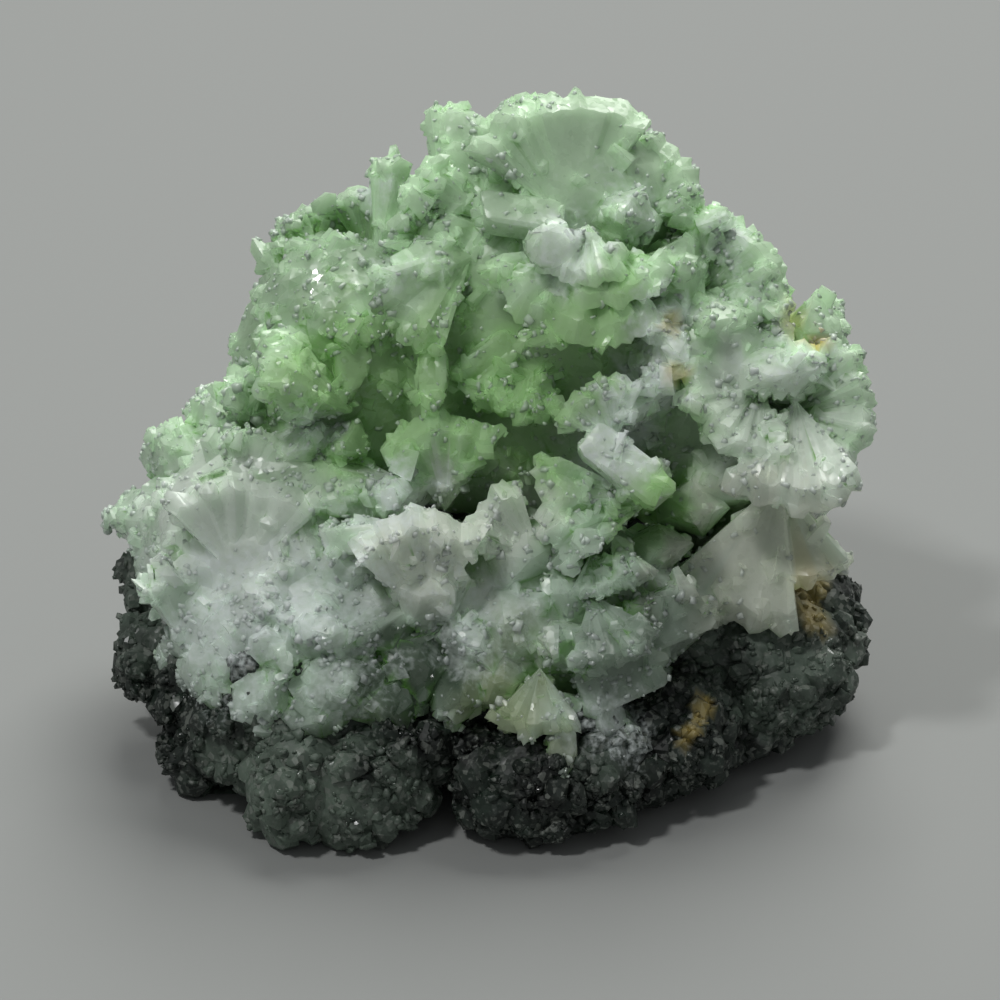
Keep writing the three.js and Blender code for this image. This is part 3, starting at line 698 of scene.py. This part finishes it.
# %% Throwing the small crystals
def grain_field(spots, size, seed):
    offsets = [Vector((seed + 31.7 * axis, 4.2 * axis, -9.1 * axis)) for axis in range(3)]
    return np.array([[noise.noise(Vector(p) / size + offset) for offset in offsets] for p in spots])


def turned_copies(shapes, spots, normals, sizes, tilt, sink, field, generator):
    count = len(spots)
    aim = normals + tilt * generator.normal(size=(count, 3)) + 1.3 * grain_field(spots, field, 3)
    aim /= np.linalg.norm(aim, axis=1)[:, None]
    flat = grain_field(spots, field, 50) + 0.08 * generator.normal(size=(count, 3))
    side = np.cross(aim, flat)
    side /= np.linalg.norm(side, axis=1)[:, None]
    frames = np.stack([side, np.cross(aim, side), aim], axis=2)
    which = generator.integers(len(shapes), size=count)
    parts = []
    for index in range(count):
        points, faces = shapes[which[index]]
        scaled = points * sizes[index]
        place = spots[index] + aim[index] * sizes[index][2] * (0.5 - sink)
        parts.append((scaled @ frames[index].T + place, faces))
    return parts


SMALL_COUNT = 4300
SMALL_TILT, SMALL_SINK, SMALL_FIELD = 0.2, 0.7, 5.5
generator = np.random.default_rng(11)
first_skin = union_of("first_skin", hearts + big_crystals)
skin_points, skin_faces = arrays_of(first_skin)
bpy.data.objects.remove(first_skin)
middles = skin_points[skin_faces].mean(axis=1)
chance = 1 - 0.94 * zone_share(middles, SMOOTH_PLATES)
chance = chance * (0.3 + soft_step(ripple(middles, 5), -0.2, 0.25))
chance = chance + zone_share(middles, BRISTLING)
spots, normals = random_places(skin_points, skin_faces, SMALL_COUNT, chance, generator)
size = (0.7 + 1.7 * generator.random(SMALL_COUNT) ** 2)[:, None]
stretch = generator.uniform(0.55, 1.2, (SMALL_COUNT, 3)) * (1, 0.8, 1.1)
small_crystals = turned_copies(
    SMALL_ARRAYS, spots, normals, size * stretch, SMALL_TILT, SMALL_SINK, SMALL_FIELD,
    generator)
print("small crystals:", len(small_crystals))

# %% The crust
CRUST_LIMIT = 192000
crust = union_of("prehnite_crust", hearts + big_crystals + small_crystals)
if len(crust.data.polygons) > CRUST_LIMIT:
    apply_modifier(
        crust, "DECIMATE", ratio=CRUST_LIMIT / len(crust.data.polygons),
        use_collapse_triangulate=True)
print("crust:", len(crust.data.polygons), "triangles")

# %% [markdown]
# ## The rock
# The dark rock under the crust is grainy and broken. Its lumps are joined in the same
# way, with angular chips thrown on them in every direction, and the feet are cut flat
# where they stand.

# %% Rock
CHIP_COUNT = 3000
CHIP_TILT, CHIP_SINK, CHIP_FIELD = 0.6, 0.75, 1.5
ROCK_RIDGES = 0.2
rock_lumps = [lump(*row, rough=ROCK_RIDGES) for row in ROCK_LUMPS]
first_rock = union_of("first_rock", rock_lumps)
rock_points, rock_faces = arrays_of(first_rock)
bpy.data.objects.remove(first_rock)
spots, normals = random_places(
    rock_points, rock_faces, CHIP_COUNT, np.ones(len(rock_faces)), generator)
sizes = (0.55 + 1.5 * generator.random(CHIP_COUNT) ** 2.4)[:, None]
sizes = sizes * generator.uniform(0.6, 1.2, (CHIP_COUNT, 3))
chips = turned_copies(
    CHUNK_ARRAYS, spots, normals, sizes, CHIP_TILT, CHIP_SINK, CHIP_FIELD, generator)
rock = union_of("rock", rock_lumps + chips)


def cut_flat(thing, level):
    start_clean()
    bpy.context.view_layer.objects.active = thing
    thing.select_set(True)
    bpy.ops.object.mode_set(mode="EDIT")
    bpy.ops.mesh.select_all(action="SELECT")
    bpy.ops.mesh.bisect(
        plane_co=(0, 0, level), plane_no=(0, 0, 1), clear_inner=True, use_fill=True)
    bpy.ops.object.mode_set(mode="OBJECT")


cut_flat(rock, 0)
apply_modifier(rock, "TRIANGULATE")
print("rock:", len(rock.data.polygons), "triangles")

# %% [markdown]
# ## Grains
# The sparkle comes from countless crystals and grains of half a millimetre and less.
# There are too many to join to the skin, so they are a mesh of their own: little tablets
# and chisels, pressed into the surface. None are put where the stone stands.

# %% Grains
GRAIN_COUNT = 8000
GRAIN_TILT, GRAIN_SINK, GRAIN_FIELD = 0.35, 0.68, 3
GRAIN_ARRAYS = SMALL_ARRAYS[2:]


def grains_on(name, thing, smallest, largest, smooth_zones):
    points, faces = arrays_of(thing)
    middles = points[faces].mean(axis=1)
    chance = 1 - 0.92 * zone_share(middles, smooth_zones)
    chance = chance * (0.15 + soft_step(ripple(middles, 2.4, 2), -0.05, 0.3))
    chance = chance * (middles[:, 2] > largest)
    spots, normals = random_places(points, faces, GRAIN_COUNT, chance, generator)
    size = smallest + (largest - smallest) * generator.random(GRAIN_COUNT) ** 2
    sizes = size[:, None] * generator.uniform(0.6, 1.2, (GRAIN_COUNT, 3))
    parts = turned_copies(
        GRAIN_ARRAYS, spots, normals, sizes, GRAIN_TILT, GRAIN_SINK, GRAIN_FIELD, generator)
    return mesh_from_arrays(name, *joined(parts))


druse = grains_on("prehnite_grains", crust, 0.28, 0.75, SMOOTH_PLATES)
grit = grains_on("rock_grains", rock, 0.3, 1.1, [])
print("grains:", len(druse.data.polygons), len(grit.data.polygons), "triangles")

# %% [markdown]
# ## Where it is frosted, pale, yellow, or in painted shade
# Colour follows place on this stone: broken edges are frosted white, the lower plates
# are milky and a few spots are stained yellow. The hollows get a painted shade of deep
# green, standing in for light that reaches them only through the crystals. Each of these
# is stored on the points as a number from 0 to 1 that the material reads.

# %% Zones of colour
FROSTED = [
    (-20.8, 20, 5, 0.9), (-15, 20.6, 4.5, 0.9), (-11, 21.5, 3.5, 0.8), (-21, 15, 5, 0.45),
    (-12, 15, 4.5, 0.4), (-7.4, 29, 3.2, 0.9), (-10, 27.5, 2, 0.7), (11.6, 52.2, 2.6, 0.7),
    (6, 48.6, 3.2, 0.8), (13.8, 42.6, 3, 1), (14.6, 40.4, 2.2, 1), (12.8, 38, 2.8, 1),
    (10.6, 35.4, 2.8, 1), (10, 32.5, 3.8, 0.75), (-4.6, 22, 3.4, 0.5), (8.8, 11, 3, 0.7),
    (11, 9.5, 2.5, 0.7),
    (-2.4, 18.5, 2.6, 0.7), (-1, 16, 2, 0.7), (1, 19, 4, 0.5), (26, 40, 2, 0.6),
    (22.5, 40, 2.5, 0.5), (-15, 34, 2, 0.8), (-13, 34.4, 1.4, 0.8), (19, 50, 2, 0.6),
    (20, 46.5, 2.5, 0.5), (-9.2, 53.6, 1.6, 0.9), (-8, 46.6, 2.2, 0.5), (-4, 47.6, 2, 0.5),
]
MILKY = [
    (-20.5, 27, 7, 0.8), (-5, 24, 5.5, 1), (10, 33.4, 4, 0.6), (1.6, 27, 3.4, 0.9),
    (23, 33, 8, 0.7), (24.8, 31, 6, 0.8), (22, 23, 7.5, 0.9), (6, 48.4, 3.4, 0.6),
]
CREAMY = [(22, 23, 7.5, 0.9), (-5, 24, 5.5, 0.5), (1.6, 27, 3.4, 0.3), (13.8, 41, 3, 0.4)]
STAINED = [
    (14.4, 42.8, 0.9, 0.45), (14.8, 38.8, 1, 0.5), (26.2, 41.9, 0.9, 1), (26, 21.8, 1.8, 0.4),
    (26.5, 19.5, 1.2, 0.5), (17.2, 12, 0.9, 0.5), (16, 10, 0.8, 0.5), (24.6, 43.4, 1.6, 0.3),
]
# The first two rows are painted shade that darkens the upper left block and the upper right; the
# other rows are smoky inclusions.
SMOKY_AND_SHADED = [
    (-15, 47, 7, 0.24), (17, 52, 5, 0.12), (-6.4, 15.6, 5, 1), (-3.3, 24.5, 0.5, 1),
    (14, 18.8, 4, 0.7), (10.4, 14.4, 4, 0.7), (-16, 11, 3, 0.4), (-12, 11.5, 3, 0.5),
]
OLIVE = [(0.8, 12.5, 4.4, 0.9), (2.4, 17, 3, 0.5), (6, 9.4, 2.4, 0.7), (-8.4, 10.8, 3, 0.5)]
GREENER = [
    (-10, 37, 8, 0.8), (3, 37, 9, 0.8), (8, 43, 5, 0.7), (14.4, 29, 4.6, 1), (-2, 45, 4, 0.4),
    (2.4, 30, 3, 1), (16, 34, 3, 0.6), (-3.4, 31, 4, 0.5),
]
DUSTY = [(-16, 5, 7, 0.9), (-8, 5, 4, 0.6), (24, 17, 7, 0.6), (-28, 20, 5, 0.5), (9, 8, 3, 0.5)]
ZONES = {
    "frosted": FROSTED, "milky": MILKY, "creamy": CREAMY, "stained": STAINED,
    "smoky_and_shaded": SMOKY_AND_SHADED, "olive": OLIVE, "greener": GREENER, "dusty": DUSTY,
}
print("zones of colour:", {name: len(rows) for name, rows in ZONES.items()})


# %% Open sky seen from each point, for the painted shade in the hollows
def ray_fan(count):
    generator = np.random.default_rng(5)
    rays = generator.normal(size=(count, 3))
    return rays / np.linalg.norm(rays, axis=1)[:, None]


SKY_RAYS = ray_fan(10)
SKY_REACH = 9.0
SKIN_GAP = 0.5
both = joined([arrays_of(crust), arrays_of(rock)])
blocker = BVHTree.FromPolygons(*[array.tolist() for array in both])


# How much of the sky each point is shut off from: this share paints shade into the hollows.
def shade_from_hollows(points, normals):
    blocked = np.zeros(len(points))
    for index, (spot, normal) in enumerate(zip(points, normals)):
        rays = SKY_RAYS + normal * 1.05
        start = Vector(spot + normal * SKIN_GAP)
        for ray in rays:
            hit = blocker.ray_cast(start, Vector(ray), SKY_REACH)[3]
            if hit is not None:
                blocked[index] += 1 - hit / SKY_REACH
    return blocked / len(SKY_RAYS)


# %% Storing the shares
def point_normals(thing):
    normals = np.empty(len(thing.data.vertices) * 3)
    thing.data.vertices.foreach_get("normal", normals)
    return normals.reshape(-1, 3)


def store(thing, name, values):
    attribute = thing.data.attributes.new(name, "FLOAT", "POINT")
    attribute.data.foreach_set("value", values.astype(np.float32))


def zone_shares(points):
    ripples = ripple(points, 2.2) + 0.5 * ripple(points, 0.9, 1)
    shares = {name: zone_share(points, rows, ripples) for name, rows in ZONES.items()}
    uphill = on_front_slope(points)[1]
    shares["height"] = soft_step(uphill + 4 * ripples, 18, 42)
    return shares


def nearest_points(thing, others):
    tree = KDTree(len(thing.data.vertices))
    for index, vertex in enumerate(thing.data.vertices):
        tree.insert(vertex.co, index)
    tree.balance()
    return np.array([tree.find(vertex.co)[1] for vertex in others.data.vertices])


for base, grains in ((crust, druse), (rock, grit)):
    shares = zone_shares(arrays_of(base)[0])
    # Painted shade in the hollows, stored for the material to darken them.
    shares["hollow_shade"] = shade_from_hollows(arrays_of(base)[0], point_normals(base))
    nearest = nearest_points(base, grains)
    for name, values in shares.items():
        store(base, name, values)
        store(grains, name, values[nearest])
    means = {name: round(float(values.mean()), 2) for name, values in shares.items()}
    print(base.name, "mean shares:", means)

# %% [markdown]
# ## Shader helpers
# A material is a small program. A class that wraps a socket lets us write its sums as
# ordinary Python, and one method adds any other node. A facet is a cell in which the
# surface leans by the cell's own random colour.

# %% Shader helpers
class Number:
    def __init__(self, finish, socket):
        self.finish = finish
        self.socket = socket

    def math(self, operation, *others):
        return self.finish.node(
            "ShaderNodeMath", {"operation": operation}, dict(enumerate([self, *others])))

    def __add__(self, other):
        return self.math("ADD", other)

    def __radd__(self, other):
        return self.math("ADD", other)

    def __sub__(self, other):
        return self.math("SUBTRACT", other)

    def __rsub__(self, other):
        return self.math("SUBTRACT", other).math("MULTIPLY", -1)

    def __mul__(self, other):
        return self.math("MULTIPLY", other)

    def __rmul__(self, other):
        return self.math("MULTIPLY", other)

    def __gt__(self, other):
        return self.math("GREATER_THAN", other)

    def limited(self):
        return self.math("MAXIMUM", 0).math("MINIMUM", 1)


class Finish:
    def __init__(self, name):
        self.material = bpy.data.materials.new(name)
        self.material.use_nodes = True
        self.tree = self.material.node_tree
        self.surface = self.tree.nodes["Principled BSDF"]

    def link(self, value, socket):
        if isinstance(value, Number):
            self.tree.links.new(value.socket, socket)
        elif hasattr(socket, "default_value"):
            socket.default_value = value

    def node(self, kind, settings=None, values=None, output=0):
        node = self.tree.nodes.new(kind)
        for name, value in (settings or {}).items():
            setattr(node, name, value)
        for name, value in (values or {}).items():
            self.link(value, node.inputs[name])
        return Number(self, node.outputs[output])

    def share(self, name):
        return self.node("ShaderNodeAttribute", {"attribute_name": name}, output="Fac")

    def mix(self, share, first, second):
        node = self.tree.nodes.new("ShaderNodeMix")
        node.data_type = "RGBA"
        for value, socket in ((share, 0), (first, 6), (second, 7)):
            self.link(value, node.inputs[socket])
        return Number(self, node.outputs[2])

    def vector(self, operation, first, second=None, output=0):
        values = {0: first} if second is None else {0: first, 1: second}
        return self.node("ShaderNodeVectorMath", {"operation": operation}, values, output)

    def noise(self, place, scale, detail=2):
        values = {"Vector": place, "Scale": scale, "Detail": detail}
        return self.node("ShaderNodeTexNoise", {}, values, "Fac")

    def facets(self, place, scale, lean):
        pattern = {"Vector": place, "Scale": scale}
        colour = self.node("ShaderNodeTexVoronoi", {}, pattern, "Color")
        tilt = self.vector("SUBTRACT", colour, (0.5, 0.5, 0.5))
        tilt = self.vector("MULTIPLY", tilt, (lean, lean, lean))
        straight = self.node("ShaderNodeNewGeometry", output="Normal")
        return self.vector("NORMALIZE", self.vector("ADD", straight, tilt)), colour

    def surface_values(self, **values):
        for name, value in values.items():
            self.link(value, self.surface.inputs[name.replace("_", " ")])


# %% [markdown]
# ## Prehnite
# Prehnite is a little see-through: light goes in, wanders a millimetre or two and comes
# out greener. Subsurface scattering gives that glow. The surface is broken in facets of
# every size, so the cells of a Voronoi pattern each lean the shading their own way, and
# some cells are polished and flash.

# %% Prehnite
# The first colour is the painted shade of the hollows.
SHADE_GREEN = (0.16, 0.36, 0.08, 1)
CLEAR_GREEN = (0.50, 0.68, 0.46, 1)
GREY_GREEN = (0.51, 0.62, 0.52, 1)
MILK = (0.71, 0.78, 0.70, 1)
RICH_GREEN = (0.35, 0.59, 0.24, 1)
CREAM = (0.60, 0.64, 0.53, 1)
FROST = (0.78, 0.84, 0.83, 1)
YELLOW = (0.66, 0.50, 0.14, 1)
SMOKE_AND_SHADE = (0.09, 0.13, 0.09, 1)
OLIVE_GREEN = (0.30, 0.36, 0.21, 1)
CRYSTAL_FACETS, CRYSTAL_LEAN = 2.1, 0.24
GLOW_DEPTH, GLOW_TINT = 2.4 * MM, (0.9, 1.0, 0.86)


def millimetres(finish):
    place = finish.node("ShaderNodeTexCoord", output="Object")
    return finish.node(
        "ShaderNodeVectorMath", {"operation": "SCALE"}, {0: place, "Scale": 1 / MM})


def make_prehnite(name, gloss, glow, pale):
    finish = Finish(name)
    place = millimetres(finish)
    broad, fine = finish.noise(place, 0.22, 1), finish.noise(place, 1.6, 2)
    facet, cell = finish.facets(place, CRYSTAL_FACETS, CRYSTAL_LEAN)
    hollow_shade, height = finish.share("hollow_shade"), finish.share("height")
    body = finish.mix(height, GREY_GREEN, CLEAR_GREEN)
    body = finish.mix(finish.share("greener"), body, RICH_GREEN)
    body = finish.mix(finish.share("milky"), body, MILK)
    body = finish.mix(finish.share("creamy"), body, CREAM)
    body = finish.mix(finish.share("olive"), body, OLIVE_GREEN)
    # Smoky inclusions, and a painted shade on the upper left block and the upper right.
    body = finish.mix(finish.share("smoky_and_shaded"), body, SMOKE_AND_SHADE)
    # Painted shade: the hollows darken towards deep green by how little sky they see, broken up by
    # broad noise.
    painted_shade = ((hollow_shade - 0.38) * 1.8 + (broad - 0.5) * 0.8).limited()
    body = finish.mix(painted_shade * 0.85, body, SHADE_GREEN)
    frost = (finish.share("frosted") + (fine - 0.62) * 1.6 + (broad - 0.55) * 0.8).limited()
    body = finish.mix(frost * 0.85, body, FROST)
    body = finish.mix(finish.share("stained"), body, YELLOW)
    # Painted light: the grains get no subsurface glow, so their colour is paled towards frost white
    # in its place.
    if pale:
        body = finish.mix(pale, body, FROST)
    shine = finish.vector("DOT_PRODUCT", cell, (1, 0, 0), "Value") > 0.87
    rough = 0.34 + (fine - 0.5) * 0.3 + frost * 0.15 - shine * 0.28 - gloss
    finish.surface_values(Base_Color=body, Roughness=rough, Normal=facet, IOR=1.63)
    finish.surface_values(Subsurface_Weight=glow, Subsurface_Scale=GLOW_DEPTH)
    finish.surface.subsurface_method = "BURLEY"
    finish.surface.inputs["Subsurface Radius"].default_value = GLOW_TINT
    return finish.material


prehnite = make_prehnite("prehnite", 0, 0.9, 0)
# The grains' paling of 0.4 is painted light, in place of the glow they lack.
prehnite_grains = make_prehnite("prehnite grains", 0.12, 0, 0.4)
print("prehnite nodes:", len(prehnite.node_tree.nodes))

# %% [markdown]
# ## Dark rock
# The rock is a dark grey-green mass with paler and blacker grains, some of them shiny,
# dusted grey along its edges and stained yellow on the right.

# %% Rock finish
ROCK_DARK = (0.005, 0.008, 0.006, 1)
ROCK_GREEN = (0.018, 0.032, 0.022, 1)
ROCK_DUST = (0.17, 0.225, 0.175, 1)
ROCK_GREY = (0.24, 0.26, 0.23, 1)
ROCK_FACETS, ROCK_LEAN = 2.2, 0.45


def make_rock(name, gloss):
    finish = Finish(name)
    place = millimetres(finish)
    broad, fine = finish.noise(place, 0.3, 2), finish.noise(place, 2.2, 2)
    facet, cell = finish.facets(place, ROCK_FACETS, ROCK_LEAN)
    body = finish.mix(((broad - 0.35) * 3).limited(), ROCK_DARK, ROCK_GREEN)
    speck = finish.vector("DOT_PRODUCT", cell, (0, 1, 0), "Value") > 0.86
    dust = ((fine - 0.56) * 5).limited() * 0.5
    body = finish.mix(finish.share("dusty") * broad * 1.4, body, ROCK_DUST)
    body = finish.mix(dust, body, ROCK_GREY)
    white = (finish.share("frosted") * 1.6 + (fine - 0.7) * 3).limited() * finish.share("frosted")
    body = finish.mix(white.limited(), body, FROST)
    body = finish.mix(speck * 0.5, body, ROCK_GREY)
    body = finish.mix(finish.share("stained"), body, YELLOW)
    shine = finish.vector("DOT_PRODUCT", cell, (1, 0, 0), "Value") > 0.8
    rough = 0.6 + (fine - 0.5) * 0.3 - shine * 0.32 - gloss
    finish.surface_values(Base_Color=body, Roughness=rough, Normal=facet, IOR=1.55)
    return finish.material


dark_rock = make_rock("dark rock", 0)
rock_grains = make_rock("rock grains", 0.1)
print("rock nodes:", len(dark_rock.node_tree.nodes))

# %% [markdown]
# ## To metres, and into the shared frame
# The pieces shrink to their real size, with their places kept in their meshes, and hang
# from the root body, while the solid model's own parts are hidden.

# %% Into the frame
CRUST_SMOOTH, ROCK_SMOOTH = 32, 30


def to_metres(thing, material, smooth):
    thing.data.transform(Matrix.Scale(MM, 4))
    thing.data.materials.clear()
    thing.data.materials.append(material)
    start_clean()
    bpy.context.view_layer.objects.active = thing
    thing.select_set(True)
    if smooth:
        bpy.ops.object.shade_smooth_by_angle(angle=math.radians(smooth))
    bpy.ops.object.select_all(action="DESELECT")


to_metres(crust, prehnite, CRUST_SMOOTH)
to_metres(druse, prehnite_grains, 0)
to_metres(rock, dark_rock, ROCK_SMOOTH)
to_metres(grit, rock_grains, 0)
for piece, slot in ((crust, "prehnite"), (druse, "prehnite"), (rock, "matrix"), (grit, "matrix")):
    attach(piece, "root")
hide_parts("prehnite")
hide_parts("matrix")
print("placed:", crust.name, druse.name, rock.name, grit.name)

# %% [markdown]
# ## Floor, light and camera
# The stone stands on a pale matt floor. A broad lamp behind it gives soft light and a
# small one at the front left gives glints, and the camera looks from 30 degrees above
# through a long lens.

# %% Floor
FLOOR_SIZE, FLOOR_LEVEL = 4, -0.0002
bpy.ops.mesh.primitive_plane_add(size=FLOOR_SIZE, location=(0, 0, FLOOR_LEVEL))
floor = bpy.context.object
floor.name = "floor"
floor_finish = Finish("pale floor")
floor_finish.surface_values(Base_Color=(0.33, 0.34, 0.33, 1), Roughness=0.8)
floor.data.materials.append(floor_finish.material)
print("floor level:", FLOOR_LEVEL)


# %% Lights
LIGHT_AIM = Vector((0, 0, 0.02))


def add_light(name, place, size, watts, colour):
    lamp = bpy.data.lights.new(name, "AREA")
    lamp.size, lamp.energy, lamp.color = size, watts, colour
    holder = bpy.data.objects.new(name, lamp)
    holder.location = place
    aim = LIGHT_AIM - holder.location
    holder.rotation_euler = aim.to_track_quat("-Z", "Y").to_euler()
    bpy.context.scene.collection.objects.link(holder)


add_light("broad lamp", (0.16, 0.52, 0.76), 0.6, 6.8, (1, 1, 0.98))
add_light("glint lamp", (-0.2, -0.16, 0.5), 0.06, 0.9, (1, 1, 1))
world = bpy.data.worlds.new("soft room")
world.use_nodes = True
world.node_tree.nodes["Background"].inputs["Color"].default_value = (0.95, 0.98, 1, 1)
world.node_tree.nodes["Background"].inputs["Strength"].default_value = 0.17
world.cycles.sampling_method = "NONE"
bpy.context.scene.world = world
bpy.context.scene.cycles.diffuse_bounces = 3
bpy.context.scene.cycles.glossy_bounces = 1
print("lamps:", len(bpy.data.lights))

# %% Camera
LOOK_AT = Vector((0.57, -8.73, 24.94)) * MM
VIEW_UP = math.radians(30)
CAMERA_DISTANCE = 0.444
camera_data = bpy.data.cameras.new("camera")
camera_data.lens, camera_data.sensor_width = 200, 36
camera_data.clip_start, camera_data.clip_end = 0.01, 10
camera = bpy.data.objects.new("camera", camera_data)
back = Vector((0, -math.cos(VIEW_UP), math.sin(VIEW_UP)))
camera.location = LOOK_AT + back * CAMERA_DISTANCE
camera.rotation_euler = (-back).to_track_quat("-Z", "Y").to_euler()
bpy.context.scene.collection.objects.link(camera)
bpy.context.scene.camera = camera
bpy.context.scene.view_settings.view_transform = "Standard"
print("camera at:", camera.location)

# %% The end
bpy.context.view_layer.update()
